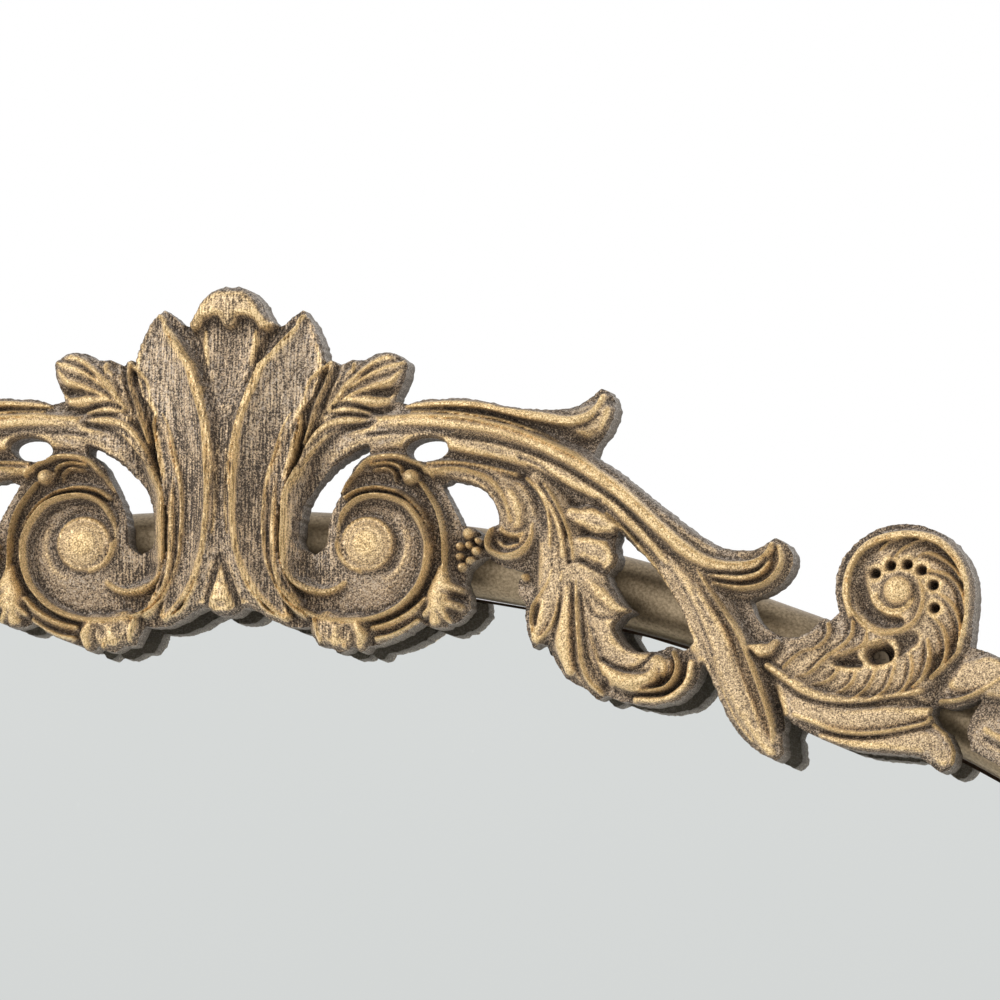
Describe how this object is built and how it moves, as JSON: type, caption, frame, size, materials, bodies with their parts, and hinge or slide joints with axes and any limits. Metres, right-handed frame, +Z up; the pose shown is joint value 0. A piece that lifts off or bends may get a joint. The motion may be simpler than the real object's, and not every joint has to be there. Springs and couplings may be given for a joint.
{
  "type": "cheval floor mirror",
  "caption": "Arched full-length floor mirror with an antique-gold tube frame and cast scroll crest, tilting between two footed posts.",
  "frame": {"origin": "on the floor under the centre of the mirror, at the middle of the feet", "axes": "+Z up, the glass faces -Y, +X to the right for someone facing the glass, metres"},
  "size_m": [0.736, 0.454, 1.6691],
  "materials": {
    "frame_gold": "satin antique gold lacquer over bronze",
    "crest_gold": "antique gold rubbed on the ridges, dark in the recesses",
    "stand_gold": "satin antique gold lacquer over bronze",
    "silvered_glass": "silvered on the back, polished",
    "backing_board": "bare fibreboard",
    "mastic": "cured adhesive",
    "zinc_steel": "zinc plated",
    "dark_steel": "blackened",
    "washer_nylon": "plain nylon",
    "glide_plastic": "moulded"
  },
  "bodies": {
    "stand": {"post_left": "stand_gold", "post_right": "stand_gold", "finial_left": "stand_gold", "finial_right": "stand_gold", "hub_left": "stand_gold", "hub_right": "stand_gold", "leg_front_left": "stand_gold", "leg_front_right": "stand_gold", "leg_back_left": "stand_gold", "leg_back_right": "stand_gold", "glides": "glide_plastic", "stretcher": "stand_gold", "stretcher_bolts": "stand_gold", "post_set_screws": "dark_steel", "saddle_washers": "washer_nylon"},
    "mirror": {"frame_arch": "frame_gold", "frame_side_left": "frame_gold", "frame_side_right": "frame_gold", "frame_bottom": "frame_gold", "glass": "silvered_glass", "mastic_pads": "mastic", "backing_board": "backing_board", "retaining_clips": "zinc_steel", "clip_screws": "zinc_steel", "crest": "crest_gold", "crest_front_screws": "dark_steel", "crest_rear_screws": "zinc_steel", "pivot_boss_left": "frame_gold", "pivot_boss_right": "frame_gold"},
    "knob_left": {"knob_left": "stand_gold", "stud_left": "zinc_steel"},
    "knob_right": {"knob_right": "stand_gold", "stud_right": "zinc_steel"}
  },
  "joints": [
    {"name": "mirror_tilt", "type": "hinge", "parent": "stand", "child": "mirror", "pos_m": [0, 0, 0.897], "axis": [1, 0, 0], "continuous": true},
    {"name": "knob_left_turn", "type": "hinge", "parent": "mirror", "child": "knob_left", "pos_m": [-0.332, 0, 0.897], "axis": [-1, 0, 0], "range_deg": [0, 270]},
    {"name": "knob_right_turn", "type": "hinge", "parent": "mirror", "child": "knob_right", "pos_m": [0.332, 0, 0.897], "axis": [1, 0, 0], "range_deg": [0, 270]}
  ]
}
